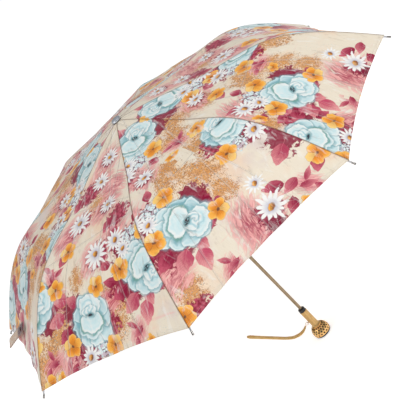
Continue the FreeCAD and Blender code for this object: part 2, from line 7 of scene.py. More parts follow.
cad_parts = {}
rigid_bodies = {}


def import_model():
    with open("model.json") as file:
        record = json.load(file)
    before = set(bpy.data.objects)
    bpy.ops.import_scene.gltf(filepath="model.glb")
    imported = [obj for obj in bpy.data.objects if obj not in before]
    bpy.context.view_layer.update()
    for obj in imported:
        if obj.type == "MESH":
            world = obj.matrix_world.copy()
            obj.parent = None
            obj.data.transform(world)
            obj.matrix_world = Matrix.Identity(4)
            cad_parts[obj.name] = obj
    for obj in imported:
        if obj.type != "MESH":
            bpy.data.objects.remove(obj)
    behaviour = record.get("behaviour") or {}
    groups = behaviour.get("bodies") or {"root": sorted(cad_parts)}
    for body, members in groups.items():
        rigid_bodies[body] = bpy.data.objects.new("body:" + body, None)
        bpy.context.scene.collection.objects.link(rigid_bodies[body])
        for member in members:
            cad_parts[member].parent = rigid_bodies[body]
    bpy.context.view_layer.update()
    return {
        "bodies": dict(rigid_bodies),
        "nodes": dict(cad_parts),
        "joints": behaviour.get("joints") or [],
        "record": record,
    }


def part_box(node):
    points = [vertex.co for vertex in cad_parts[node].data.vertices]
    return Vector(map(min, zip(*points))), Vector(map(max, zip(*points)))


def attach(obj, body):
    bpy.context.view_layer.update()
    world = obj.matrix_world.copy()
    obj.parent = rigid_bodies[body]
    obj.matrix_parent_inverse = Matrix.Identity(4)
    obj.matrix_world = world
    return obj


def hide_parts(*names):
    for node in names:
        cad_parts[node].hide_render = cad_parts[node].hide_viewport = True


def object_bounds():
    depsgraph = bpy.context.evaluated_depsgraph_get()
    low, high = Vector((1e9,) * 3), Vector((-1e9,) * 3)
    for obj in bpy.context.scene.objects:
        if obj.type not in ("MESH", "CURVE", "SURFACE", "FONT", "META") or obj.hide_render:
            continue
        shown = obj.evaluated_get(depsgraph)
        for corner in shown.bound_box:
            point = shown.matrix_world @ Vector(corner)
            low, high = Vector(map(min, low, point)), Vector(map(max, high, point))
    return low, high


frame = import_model()

# An open folding umbrella: a flower-printed satin canopy of eight gores on jointed ribs, a
# telescopic shaft and a gold handle. Scene units are metres; print layouts are in millimetres.

MM = 0.001
GORES = 8
HALF_GORE = math.pi / GORES

# ---- colours (linear) ----------------------------------------------------------------

CREAM = (0.81, 0.725, 0.59)
PEACH = (0.86, 0.56, 0.38)
LAVENDER = (0.62, 0.50, 0.56)
SAGE = (0.60, 0.62, 0.46)
CRIMSON = (0.25, 0.002, 0.035)
WINE = (0.09, 0.001, 0.016)
PINK = (0.58, 0.085, 0.15)
ROSY = (0.85, 0.40, 0.38)
ORANGE = (0.84, 0.27, 0.02)
AMBER = (0.93, 0.44, 0.07)
LEMON = (0.92, 0.70, 0.26)
WHITE = (0.88, 0.87, 0.84)
MIST = (0.60, 0.58, 0.64)
ICE = (0.60, 0.78, 0.80)
SKY = (0.26, 0.50, 0.57)
TEAL = (0.10, 0.29, 0.32)
TAN = (0.62, 0.27, 0.085)
UMBER = (0.20, 0.075, 0.035)
MOSS = (0.13, 0.31, 0.24)
INK = (0.035, 0.045, 0.06)


# ---- a pen for shader nodes ----------------------------------------------------------

def arithmetic(operation, swapped=False):
    """A method of Wire that does one sum with another wire or a plain number."""
    def method(self, other):
        pair = (other, self) if swapped else (self, other)
        return self.pen.math(operation, *pair)
    return method


class Wire:
    """A number that flows through a node tree, with ordinary arithmetic."""

    def __init__(self, pen, socket):
        self.pen = pen
        self.socket = socket

    __add__, __radd__ = arithmetic("ADD"), arithmetic("ADD", True)
    __sub__, __rsub__ = arithmetic("SUBTRACT"), arithmetic("SUBTRACT", True)
    __mul__, __rmul__ = arithmetic("MULTIPLY"), arithmetic("MULTIPLY", True)
    __truediv__ = arithmetic("DIVIDE")

    def of(self, name):
        """A function of one number, such as FLOOR, SINE, ABSOLUTE or SQRT."""
        return self.pen.math(name, self)


class Pen:
    """Draws nodes into one tree."""

    def __init__(self, tree):
        self.tree = tree

    def node(self, kind, **settings):
        made = self.tree.nodes.new(kind)
        for name, setting in settings.items():
            setattr(made, name, setting)
        return made

    def feed(self, socket, source):
        """Join a wire or a socket to an input, or write a plain value there."""
        if isinstance(source, Wire):
            source = source.socket
        if isinstance(source, bpy.types.NodeSocket):
            self.tree.links.new(source, socket)
        elif socket.type == "RGBA":
            socket.default_value = (*source, 1.0)
        else:
            socket.default_value = source

    def math(self, operation, *numbers):
        made = self.node("ShaderNodeMath", operation=operation)
        for socket, number in zip(made.inputs, numbers):
            self.feed(socket, number)
        return Wire(self, made.outputs[0])

    def ease(self, number, low, high):
        """0 below low, 1 above high, smooth between; low may exceed high."""
        made = self.node("ShaderNodeMapRange", interpolation_type="SMOOTHSTEP")
        for index, source in enumerate((number, low, high)):
            self.feed(made.inputs[index], source)
        return Wire(self, made.outputs[0])

    def close(self, number, far, near):
        """1 where a number is within near of 0, and 0 where it is beyond far."""
        return self.ease(number.of("ABSOLUTE"), far, near)

    def wave(self, number, length):
        """A sine of a number that repeats over a length."""
        return (number * (2 * math.pi / length)).of("SINE")

    def blend(self, share, below, above):
        """A colour that turns from below to above as share goes from 0 to 1."""
        made = self.node("ShaderNodeMix", data_type="RGBA")
        self.feed(made.inputs[0], share)
        self.feed(made.inputs[6], below)
        self.feed(made.inputs[7], above)
        return made.outputs[2]

    def noise(self, place, scale, detail=2.0, rough=0.5, bend=0.0):
        made = self.node("ShaderNodeTexNoise", noise_dimensions="3D")
        self.feed(made.inputs["Vector"], place)
        settings = {"Scale": scale, "Detail": detail, "Roughness": rough, "Distortion": bend}
        for name, setting in settings.items():
            made.inputs[name].default_value = setting
        return Wire(self, made.outputs[0])

    def cells(self, place, scale):
        """The distance to the nearest of scattered points."""
        made = self.node("ShaderNodeTexVoronoi")
        self.feed(made.inputs["Vector"], place)
        made.inputs["Scale"].default_value = scale
        return Wire(self, made.outputs["Distance"])

    def chance(self, number):
        made = self.node("ShaderNodeTexWhiteNoise", noise_dimensions="1D")
        self.feed(made.inputs["W"], number)
        return Wire(self, made.outputs["Value"])

    def split(self, vector):
        made = self.node("ShaderNodeSeparateXYZ")
        self.feed(made.inputs[0], vector)
        return [Wire(self, socket) for socket in made.outputs]

    def join(self, *numbers):
        made = self.node("ShaderNodeCombineXYZ")
        for socket, number in zip(made.inputs, numbers):
            self.feed(socket, number)
        return made.outputs[0]

    def own_place(self):
        """The place in the object's own metres."""
        return self.node("ShaderNodeTexCoord").outputs["Object"]

    def scaled(self, place, scale, turn=0.0):
        """A place turned about its third axis and scaled along each axis."""
        made = self.node("ShaderNodeMapping")
        self.feed(made.inputs["Vector"], place)
        made.inputs["Scale"].default_value = scale
        made.inputs["Rotation"].default_value = (0.0, 0.0, turn)
        return made.outputs[0]

    def stored(self, name):
        """A vector stored on the mesh."""
        return self.node("ShaderNodeAttribute", attribute_name=name).outputs["Vector"]

    def bump(self, height, depth, strength=1.0, base=None):
        made = self.node("ShaderNodeBump")
        made.inputs["Strength"].default_value = strength
        made.inputs["Distance"].default_value = depth
        self.feed(made.inputs["Height"], height)
        if base is not None:
            self.feed(made.inputs["Normal"], base)
        return made.outputs[0]


def new_object(name, data):
    """An object in the scene that holds a mesh, an armature, a lamp or a camera."""
    made = bpy.data.objects.new(name, data)
    bpy.context.scene.collection.objects.link(made)
    return made


def new_mesh(name, vertices, faces, *materials):
    """A smooth-shaded mesh with its materials."""
    mesh = bpy.data.meshes.new(name)
    mesh.from_pydata(vertices, [], faces)
    mesh.shade_smooth()
    for material in materials:
        mesh.materials.append(material)
    return mesh


def node_axes(name):
    """A CAD node's middle, its points from there, and its three axes, the longest first."""
    points = np.array([vertex.co for vertex in frame["nodes"][name].data.vertices])
    middle = points.mean(0)
    spread = points - middle
    return middle, spread, np.linalg.svd(spread, full_matrices=False)[2]


def stand_for(thing, body, node):
    """Let a thing move with a body and show in place of one of its CAD nodes."""
    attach(thing, body)
    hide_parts(node)


def new_material(name):
    """An empty material, its pen and its surface shader."""
    material = bpy.data.materials.new(name)
    material.use_nodes = True
    surface = material.node_tree.nodes["Principled BSDF"]
    return material, Pen(material.node_tree), surface


def finish_surface(pen, surface, **inputs):
    for name, source in inputs.items():
        pen.feed(surface.inputs[name.replace("_", " ")], source)


# ---- hard materials ------------------------------------------------------------------

def metal(name, light, dark, rough, brush, scratch=0.00002):
    """Bare or plated metal: streaks along brush, smudges, and fine drawn scratches."""
    material, pen, surface = new_material(name)
    place = pen.own_place()
    streak = pen.noise(pen.scaled(place, brush), 1.0, 3.0, 0.6)
    smudge = pen.noise(place, 140.0, 3.0, 0.6)
    grain = pen.noise(place, 2600.0, 2.0, 0.6)
    tone = pen.ease(streak * 0.6 + smudge * 0.4, 0.34, 0.66)
    colour = pen.blend(tone, dark, light)
    finish_surface(pen, surface, Base_Color=colour, Metallic=1.0,
                   Roughness=smudge * 0.22 + (rough - 0.11) + grain * 0.05,
                   Normal=pen.bump(streak * 0.7 + grain * 0.3, scratch))
    return material


def plastic(name, colour, wear, rough):
    """Moulded plastic or enamel: faint mottling, fine moulding grain and rubbed patches."""
    material, pen, surface = new_material(name)
    place = pen.own_place()
    mottle = pen.noise(place, 90.0, 4.0, 0.6)
    grain = pen.noise(place, 1800.0, 2.0, 0.5)
    rubbed = pen.ease(mottle, 0.52, 0.75)
    finish_surface(pen, surface, Base_Color=pen.blend(rubbed, colour, wear),
                   Roughness=rubbed * 0.15 + grain * 0.08 + (rough - 0.04),
                   Normal=pen.bump(grain * 0.6 + mottle * 0.4, 0.00004))
    return material


def cord():
    """Woven gold cord: crossing ribs of yarn, ochre, with painted shade in brown in the grooves
    between them.
    """
    material, pen, surface = new_material("woven_gold_cord")
    along, across, _ = pen.split(pen.stored("cord"))
    left, right = pen.wave(along + across, 1 / 1100), pen.wave(along - across, 1 / 1100)
    weave = pen.math("MAXIMUM", left, right) * 0.5 + 0.5
    place = pen.join(along, across, 0.0)
    fade = pen.noise(place, 160.0, 3.0)
    yarn_colour = pen.blend(pen.ease(fade, 0.35, 0.65), (0.78, 0.47, 0.12), (0.94, 0.67, 0.27))
    # painted shade: brown in the grooves between the yarn ribs, where the bump also sinks
    colour = pen.blend(pen.ease(weave, 0.35, 0.8), (0.50, 0.26, 0.06), yarn_colour)
    finish_surface(pen, surface, Base_Color=colour, Roughness=0.62, Sheen_Weight=0.35,
                   Normal=pen.bump(weave, 0.00035))
    return material


# how finely a metal's streaks repeat along each axis, per metre, where they have no direction
EVEN = (300.0, 300.0, 300.0)


def paint_hardware():
    """Give every carried-over CAD node its own material."""
    finish_of = {
        "rib_steel": metal("rib_steel_wire", (0.60, 0.60, 0.62), (0.36, 0.36, 0.38), 0.34, EVEN),
        "shaft_bronze": metal("shaft_bronze_anodised", (0.36, 0.275, 0.18), (0.21, 0.155, 0.09),
                              0.40, (420.0, 420.0, 6.0)),
        "gold": metal("handle_gold_satin", (0.64, 0.43, 0.19), (0.42, 0.26, 0.10), 0.36,
                      (260.0, 260.0, 14.0)),
        "ball": metal("knob_gold_polished", (0.95, 0.62, 0.27), (0.66, 0.38, 0.13), 0.24,
                      (200.0, 200.0, 200.0)),
        "ring": metal("ring_gold_wire", (0.52, 0.33, 0.12), (0.32, 0.19, 0.06), 0.42, EVEN),
        "tip_metal": metal("tip_dark_nickel", (0.42, 0.40, 0.38), (0.20, 0.19, 0.18), 0.25,
                           (400.0, 400.0, 400.0)),
        "silver_cap": metal("cap_silver_plate", (0.66, 0.70, 0.76), (0.40, 0.44, 0.50), 0.26,
                            (60.0, 60.0, 400.0)),
        "black_plastic": plastic("black_moulded_plastic", (0.012, 0.012, 0.014),
                                 (0.04, 0.04, 0.042), 0.45),
        "black_enamel": plastic("black_gloss_enamel", (0.010, 0.007, 0.009),
                                (0.022, 0.012, 0.015), 0.16)}
    slot_of = {part["node"]: part["material_slot"] for part in frame["record"]["subparts"]}
    slot_of.update(strap_ring="ring", knob_shell="ball")
    for name, node in frame["nodes"].items():
        if slot_of[name] in finish_of:
            node.data.materials.clear()
            node.data.materials.append(finish_of[slot_of[name]])


# ---- the print's motifs --------------------------------------------------------------
# Each motif is drawn in its own unit disc: x and y run -1 to 1 and tone, 0 to 1, varies it.
# A drawing yields its layers of paint, lowest first, as (share, colour).

def distance(x, y):
    return (x * x + y * y).of("SQRT")


def radius_and_turn(pen, x, y):
    return distance(x, y), pen.math("ARCTAN2", y, x) / (2 * math.pi)


def among_petals(pen, x, y, petals):
    """The radius, the petal's number and the angle from that petal's middle line."""
    radius, turn = radius_and_turn(pen, x, y)
    count = turn * petals
    petal = count.of("FLOOR")
    return radius, petal, (count - petal - 0.5) * (2 * math.pi / petals)


def soft(pen, edge, width):
    """1 where edge is below 0, fading out over width."""
    return pen.ease(edge, width, -width)


def draw_daisy(pen, x, y, tone):
    """Thirteen long white petals of uneven length round an orange button."""
    radius, petal, angle = among_petals(pen, x, y, 13)
    luck = pen.chance(petal + tone * 40)
    off = angle.of("ABSOLUTE") * radius
    reach = luck * 0.32 + 0.68
    swell = (radius / reach) * (1.12 - radius / reach) * 4.0
    width = pen.math("MAXIMUM", swell, 0.0).of("SQRT") * 0.112
    white = pen.blend(pen.ease(radius, 0.2, 0.6), MIST, WHITE)
    white = pen.blend(pen.ease(off / (width + 0.01), 0.55, 1.0) * 0.45, white, LAVENDER)
    yield soft(pen, off - width, 0.02), white
    button = pen.blend(pen.ease(pen.cells(pen.join(x, y, tone), 16.0), 0.1, 0.5), ORANGE, UMBER)
    button = pen.blend(pen.ease(y - x * 0.4, -0.15, 0.2), button, AMBER)
    yield soft(pen, radius - 0.23, 0.03) * 0.6, UMBER
    yield soft(pen, radius - 0.20, 0.02), button


def draw_pansy(pen, x, y, tone):
    """Five round orange petals, one of them pale, with veins running to a dark eye."""
    radius, petal, angle = among_petals(pen, x, y, 5)
    along = radius * angle.of("COSINE") - 0.50
    across = radius * angle.of("SINE")
    ruffle = pen.noise(pen.join(x, y, tone * 9), 5.0) * 0.14
    edge = (along * along * 4.2 + across * across * 5.0).of("SQRT") + ruffle - 1.09
    vein = ((angle * 26.0).of("SINE") * 0.5 + 0.5) * pen.ease(radius, 0.75, 0.15)
    warm = pen.blend(pen.ease(radius + pen.chance(petal + tone * 30) * 0.5, 0.5, 1.15),
                     ORANGE, AMBER)
    pale = pen.close(petal - 1.0, 0.5, 0.1)
    warm = pen.blend(pale * 0.6, warm, LEMON)
    warm = pen.blend(pen.ease(edge, -0.36, -0.04) * 0.45, warm, LEMON)
    warm = pen.blend(vein * 0.55, warm, UMBER)
    gap = pen.ease(angle.of("ABSOLUTE"), 0.5, 0.628) * pen.ease(radius, 0.9, 0.3)
    warm = pen.blend(gap * 0.7, warm, (0.42, 0.12, 0.03))
    yield soft(pen, edge - 0.06, 0.05) * 0.5, CRIMSON
    yield soft(pen, edge, 0.03), warm
    yield soft(pen, radius - 0.13, 0.05), UMBER


# the rose's petals, the lowest first: x, y, half width, half height, lightness
ROSE_PETALS = [(-0.12, -0.58, 0.50, 0.40, 0.05), (0.36, -0.58, 0.34, 0.32, 0.45),
               (-0.68, -0.36, 0.36, 0.32, 0.80), (-0.78, 0.08, 0.28, 0.30, 0.95),
               (-0.56, 0.58, 0.40, 0.36, 0.85), (-0.08, 0.76, 0.36, 0.28, 0.75),
               (0.40, 0.66, 0.34, 0.30, 0.70), (0.80, 0.28, 0.28, 0.34, 0.85),
               (0.80, -0.30, 0.30, 0.34, 0.75), (0.52, 0.02, 0.52, 0.56, 0.95),
               (-0.24, -0.04, 0.48, 0.66, 0.50), (-0.12, 0.0, 0.40, 0.60, 1.0),
               (0.34, 0.0, 0.26, 0.38, 0.90)]
# the rose's dark heart: how far it lies along x from the middle
ROSE_HEART = 0.19


def draw_rose(pen, x, y, tone):
    """A full pale-blue rose: ruffled petals laid over each other with teal in the folds."""
    place = pen.join(x, y, tone * 7)
    wave = pen.noise(place, 3.4, 3.0) - 0.5
    fine = pen.noise(place, 9.0, 2.0) - 0.5
    from_heart = distance(x - ROSE_HEART, y)
    rings = (from_heart * 30.0 + wave * 9.0).of("SINE") * 0.5 + 0.5
    for across, up, wide, high, light in ROSE_PETALS:
        edge = distance((x - across) / wide, (y - up) / high) + wave * 0.50 + fine * 0.16 - 1.0
        body = pen.blend(light, SKY, ICE)
        body = pen.blend(pen.ease(from_heart + light * 0.3, 0.75, 0.15) * 0.55, body, SKY)
        body = pen.blend(rings * 0.22, body, WHITE)
        body = pen.blend(pen.ease(edge, -0.40, -0.04) * 0.75, body, pen.blend(light, ICE, WHITE))
        yield soft(pen, edge - 0.14, 0.20) * 0.80, pen.blend(light * 0.5, TEAL, SKY)
        yield soft(pen, edge, 0.03), body
    radius, turn = radius_and_turn(pen, x - 0.46, y)
    spiral = (radius * 34.0 + turn * (4 * math.pi) + wave * 6.0).of("SINE")
    inner = soft(pen, radius + wave * 0.3 - 0.34, 0.08)
    yield inner * pen.ease(spiral, 0.1, 0.9) * 0.65, WHITE
    yield inner * pen.ease(spiral, -0.3, -1.0) * 0.55, SKY
    bowl = distance((x + 0.12) / 0.46, y / 0.62) + wave * 0.18 - 1.0
    yield soft(pen, bowl.of("ABSOLUTE") - 0.05, 0.09) * pen.ease(x, 0.30, -0.05) * 0.85, MOSS
    heart = distance((x - ROSE_HEART) / 0.085, y / 0.19) + wave * 0.8
    speck = pen.ease(pen.cells(place, 15.0), 0.34, 0.46)
    yield soft(pen, heart - 1.3, 0.4) * 0.8, TEAL
    yield soft(pen, heart - 0.85, 0.2) * speck, INK


def draw_leaf(pen, x, y, tone):
    """A pointed oval leaf with a pale mid vein; tone turns it from wine to rosy pink."""
    belly = (1.0 - x * x) * (0.72 - x * 0.26)
    edge = y.of("ABSOLUTE") - belly
    side = ((x * 1.2 - y.of("ABSOLUTE")) * 24.0).of("SINE") * 0.5 + 0.5
    deep = pen.blend(tone, CRIMSON, PINK)
    tip = pen.blend(tone, PINK, ROSY)
    body = pen.blend(pen.ease(x + pen.noise(pen.join(x, y, tone * 5), 4.0), 0.1, 1.4), deep, tip)
    body = pen.blend(pen.ease(y, 0.02, 0.4) * 0.45, body, tip)
    body = pen.blend(side * 0.14, body, CRIMSON)
    vein = pen.close(y, 0.045, 0.01) * pen.ease(x, 1.0, -0.6)
    yield soft(pen, edge, 0.035), body
    yield vein * 0.40, pen.blend(tone, PINK, ROSY)


def draw_plume(pen, x, y, tone):
    """Feathery brush strokes of pink that fade at their ends."""
    radius = distance(x, y)
    stroke = pen.noise(pen.join(x * 1.3, y * 6.5 + x * x * 2.0, tone * 11), 1.4, 3.0, 0.6, 0.4)
    share = pen.ease(stroke - radius * 0.42 + tone * 0.04, 0.10, 0.34)
    body = pen.blend(pen.ease(stroke, 0.40, 0.60), pen.blend(tone, CRIMSON, PINK), ROSY)
    body = pen.blend(pen.ease(stroke, 0.60, 0.75), body, CREAM)
    yield share * 0.9 * pen.ease(radius, 1.2, 0.85), body


def draw_thicket(pen, x, y, tone):
    """Ragged dark crimson ground between the flowers."""
    radius = distance(x, y)
    place = pen.join(x, y, tone * 13)
    rag = pen.noise(place, 3.4, 4.0, 0.65, 0.6)
    share = soft(pen, radius + (rag - 0.5) * 1.9 - 0.72, 0.06)
    body = pen.blend(pen.ease(pen.noise(place, 6.0, 3.0), 0.40, 0.66), CRIMSON,
                     pen.blend(tone, WINE, PINK))
    yield share * 0.96, body


def draw_foliage(pen, x, y, tone):
    """A cloud of small tan and brown dabs with a few blue specks."""
    radius = distance(x, y)
    place = pen.join(x, y, tone * 17)
    cloud = pen.noise(place, 2.6, 3.0, 0.62)
    dab = pen.noise(place, 19.0, 3.0, 0.7)
    wash = soft(pen, radius + (cloud - 0.5) * 1.6 - 0.66, 0.30)
    share = pen.ease(cloud - radius * 0.50 + dab * 1.3, 0.78, 0.92)
    body = pen.blend(pen.ease(dab, 0.50, 0.66), TAN, UMBER)
    body = pen.blend(pen.ease(pen.noise(place, 28.0, 1.0), 0.57, 0.66), body, AMBER)
    body = pen.blend(pen.ease(pen.noise(place, 17.0, 1.0), 0.66, 0.72), body, SKY)
    yield wash * 0.40, (0.88, 0.62, 0.40)
    yield share * pen.ease(radius, 1.15, 0.75) * 0.9, body


def draw_cluster(pen, x, y, tone):
    """A spray of tiny white flowers over plum-coloured shade."""
    radius = distance(x, y)
    place = pen.join(x, y, tone * 19)
    rag = pen.noise(place, 4.0, 2.0) - 0.5
    bloom = pen.cells(place, 4.5)
    shade = pen.blend(pen.ease(rag, -0.1, 0.12), LAVENDER, WINE)
    petals = pen.blend(pen.ease(bloom, 0.45, 0.15), ICE, WHITE)
    body = pen.blend(pen.ease(bloom + rag * 0.4, 0.56, 0.46), shade, petals)
    body = pen.blend(pen.ease(bloom, 0.14, 0.08), body, UMBER)
    yield soft(pen, radius + rag * 1.2 - 0.85, 0.06), body


# drawn in this order, the lowest first: kind, drawing, how many may overlap
MOTIFS = [("foliage", draw_foliage, 2), ("plume", draw_plume, 2), ("thicket", draw_thicket, 3),
          ("leaf", draw_leaf, 3), ("cluster", draw_cluster, 1), ("rose", draw_rose, 1),
          ("pansy", draw_pansy, 1), ("daisy", draw_daisy, 2)]


# how far, as a share of its radius, a motif's outline wanders from the drawn one
SWAY = 0.30


def motif_group(kind, draw):
    """A node group that paints one motif over the colour beneath it."""
    tree = bpy.data.node_groups.new(f"{kind}_motif", "ShaderNodeTree")
    face = tree.interface
    face.new_socket("Place", in_out="INPUT", socket_type="NodeSocketVector")
    face.new_socket("Under", in_out="INPUT", socket_type="NodeSocketColor")
    face.new_socket("Colour", in_out="OUTPUT", socket_type="NodeSocketColor")
    pen = Pen(tree)
    start = pen.node("NodeGroupInput")
    x, y, tone = pen.split(start.outputs["Place"])
    place = pen.join(x, y, tone * 23)
    x = x + (pen.noise(place, 2.1) - 0.5) * SWAY
    y = y + (pen.noise(pen.join(y, x, tone * 29 + 4), 2.1) - 0.5) * SWAY
    colour = start.outputs["Under"]
    for share, paint in draw(pen, x, y, tone):
        colour = pen.blend(share, colour, paint)
    pen.feed(pen.node("NodeGroupOutput").inputs["Colour"], colour)
    return tree


def watercolour_ground(pen, place):
    """The cream ground with soft peach, lavender and sage washes and blue spatter."""
    colour = pen.blend(pen.ease(pen.noise(place, 9.0, 3.0, 0.55), 0.50, 0.68) * 0.55,
                       CREAM, PEACH)
    moved = pen.node("ShaderNodeVectorMath", operation="ADD")
    pen.feed(moved.inputs[0], place)
    moved.inputs[1].default_value = (3.1, 1.7, 0.4)
    other = moved.outputs[0]
    colour = pen.blend(pen.ease(pen.noise(other, 8.0, 4.0, 0.6), 0.54, 0.70) * 0.42,
                       colour, LAVENDER)
    colour = pen.blend(pen.ease(pen.noise(other, 5.0, 2.0), 0.60, 0.72) * 0.30, colour, SAGE)
    brush = pen.noise(pen.scaled(other, (18.0, 60.0, 1.0), 0.7), 1.0, 4.0, 0.65, 0.5)
    colour = pen.blend(pen.ease(brush, 0.60, 0.78) * 0.45, colour, ROSY)
    speck = pen.ease(pen.cells(place, 260.0), 0.16, 0.10)
    where = pen.ease(pen.noise(other, 14.0, 2.0), 0.60, 0.68)
    return pen.blend(speck * where * 0.6, colour, SKY)


def printed_satin(name, groups, fade):
    """Printed polyester satin. fade lets the cream through, as on the cloth's inner face."""
    material, pen, surface = new_material(name)
    across, down, gore = pen.split(pen.stored("gore"))
    to_seam, to_hem, _ = pen.split(pen.stored("edge"))
    place = pen.join(across, down, gore * 0.7)
    colour = watercolour_ground(pen, place)
    for kind, _, count in MOTIFS:
        for layer in range(count):
            place_in = pen.stored(f"{kind}_{layer}")
            group = pen.node("ShaderNodeGroup", node_tree=groups[kind])
            pen.feed(group.inputs["Place"], place_in)
            pen.feed(group.inputs["Under"], colour)
            colour = group.outputs["Colour"]
    colour = pen.blend(fade, colour, CREAM)
    rumple = pen.noise(pen.join(across * 2.2, down * 0.7, gore * 0.7), 42.0, 4.0, 0.6, 0.5)
    fold = crease_lines(pen, across, down)
    # painted highlight: white sheen streaks on the rumple crests and white lines along the press
    # creases
    colour = pen.blend(pen.ease(rumple, 0.54, 0.70) * 0.42 + fold * 0.20, colour, WHITE)
    # painted shade: umber in the hollows of the rumples
    colour = pen.blend(pen.ease(rumple, 0.42, 0.28) * 0.22, colour, UMBER)
    # painted shade: a dark umber line in the groove along each seam, where the bump also sinks
    groove = pen.ease(to_seam, 0.0016, 0.0004)
    colour = pen.blend(groove * 0.55, colour, UMBER)
    seam_stitch = pen.wave(down, 0.0026) * 0.5 + 0.5
    hem_stitch = pen.wave(across, 0.0026) * 0.5 + 0.5
    hem_row = pen.close(to_hem - 0.0065, 0.0005, 0.0002) * hem_stitch
    seam_row = pen.close(to_seam - 0.0042, 0.0004, 0.0002) * seam_stitch
    threads = pen.math("MAXIMUM", hem_row, seam_row * 0.5)
    colour = pen.blend(threads * 0.35, colour, WHITE)
    weave = pen.wave(across, 0.0007) * 0.5 + pen.wave(down, 0.0005) * 0.35
    weave = pen.bump(weave, 0.00003, 0.6)
    height = rumple * 0.9 + fold * 0.6 - groove * 0.8 + threads * 0.25
    normal = pen.bump(height, 0.0020, 0.9, weave)
    finish_surface(pen, surface, Base_Color=colour, Roughness=0.34 + rumple * 0.12,
                   Sheen_Weight=0.02, Sheen_Roughness=0.3, Specular_IOR_Level=0.14,
                   Normal=normal)
    return material


def crease_lines(pen, across, down):
    """Sharp press lines left where the folded cloth lay: along the gore and across it; the satin
    is bumped along them and given a painted highlight there.
    """
    total = None
    for slope, start in ((0.21, 0.012), (-0.17, -0.006), (0.05, 0.045), (-0.30, 0.03)):
        line = pen.close(across - down * slope + start, 0.0022, 0.0)
        total = line if total is None else total + line
    for level, tilt in ((0.150, 0.10), (0.292, -0.12), (0.215, 0.25)):
        total = total + pen.close(down - level + across * tilt, 0.002, 0.0)
    return total


# ---- the print's layout --------------------------------------------------------------
# A motif is (kind, down the gore, across it, radius, turn in degrees, tone, stretch), in
# millimetres. Down is measured along the cloth from the crown and across from the gore's
# middle, positive toward the next rib.

def motifs(**places):
    """A list of motifs from the places of each kind."""
    return [(kind, *place) for kind, each in places.items() for place in each]


# the rose and everything round it, about the rose's own centre
ROSE_BOUQUET = motifs(
    foliage=[(-92, -38, 42, 20, 0.1, 1.5), (-45, -76, 38, -30, 0.4, 1.5),
             (10, -80, 30, -50, 0.7, 1.3)],
    plume=[(30, 90, 30, 60, 0.9, 1.4), (-85, 62, 40, 30, 0.3, 1.5)],
    thicket=[(-50, 34, 48, 0, 0.2, 1.0), (10, 44, 50, 20, 0.5, 1.1),
             (16, -36, 40, 0, 0.8, 1.0), (-22, -40, 36, 0, 0.4, 1.0)],
    leaf=[(27, 66, 18, 70, 0.05, 1.1), (2, 84, 13, 110, 0.1, 1.2),
          (53, 46, 20, 55, 0.75, 1.15), (76, 18, 20, 15, 0.95, 1.15),
          (50, 4, 16, -10, 0.7, 1.1), (-92, 64, 14, 140, 0.2, 1.2),
          (-104, 8, 13, 200, 0.3, 1.2), (-30, 88, 12, 80, 0.3, 1.2)],
    cluster=[(-62, 24, 25, 0, 0.3, 1.0)],
    rose=[(-2, 2, 46, -45, 0.2, 1.0)],
    pansy=[(-68, -8, 21, 20, 0.2, 1.0), (-14, 56, 22, 75, 0.6, 1.0),
           (32, -52, 20, 200, 0.9, 1.0)],
    daisy=[(-72, 60, 24, 0, 0.3, 1.0), (-48, 42, 20, 30, 0.8, 1.0)])

# the same flowers fallen the other way: the rose above a white spray and pansies
FALLEN_BOUQUET = motifs(
    foliage=[(-16, -64, 42, 80, 0.2, 1.5), (30, -56, 38, 60, 0.6, 1.4),
             (-80, 14, 26, 10, 0.8, 1.3)],
    plume=[(56, 64, 40, 40, 0.7, 1.4), (-60, 74, 34, 100, 0.2, 1.3)],
    thicket=[(-30, 34, 38, 0, 0.3, 1.0), (44, 20, 44, 0, 0.6, 1.1),
             (20, -34, 36, 30, 0.9, 1.0), (14, 46, 34, 0, 0.1, 1.0)],
    leaf=[(-60, 62, 18, 110, 0.9, 1.15), (-26, 78, 19, 80, 0.8, 1.15),
          (-46, 34, 16, 130, 0.55, 1.1), (8, 66, 16, 60, 0.1, 1.1), (74, 66, 13, 30, 0.3, 1.2)],
    cluster=[(54, -8, 22, 0, 0.6, 1.0)],
    rose=[(0, 0, 44, 185, 0.7, 1.0)],
    pansy=[(-52, -30, 20, 50, 0.3, 1.0), (29, 56, 21, 10, 0.7, 1.0),
           (58, -34, 21, 120, 0.1, 1.0)],
    daisy=[(62, 24, 23, 0, 0.9, 1.0)])

# a big daisy and a smaller one among pink plumes and crimson leaves
DAISY_PAIR = motifs(
    plume=[(20, 26, 50, 65, 0.7, 1.3), (-14, 40, 40, 20, 0.4, 1.3)],
    thicket=[(6, 8, 31, 0, 0.6, 1.0), (26, 14, 24, 0, 0.2, 1.0)],
    leaf=[(-22, -24, 15, 120, 0.15, 1.3), (-2, -44, 13, 80, 0.45, 1.3),
          (27, -24, 13, 40, 0.2, 1.3)],
    daisy=[(0, 0, 29, 10, 0.5, 1.0), (-50, -10, 19, 0, 0.1, 1.0)])

# a stray twig: three small crimson leaves and an orange bud
SPRIG = motifs(
    plume=[(0, 0, 22, 40, 0.9, 1.5)],
    leaf=[(0, 0, 8, 60, 0.35, 1.9), (19, 10, 7, 15, 0.65, 1.9), (-15, 11, 7, 125, 0.5, 1.9)],
    pansy=[(24, -22, 11, 0, 0.4, 1.4)])


def single(kind, radius, tone, *under):
    """One motif with others beneath it."""
    return [*under, (kind, 0, 0, radius, 0, tone, 1.0)]


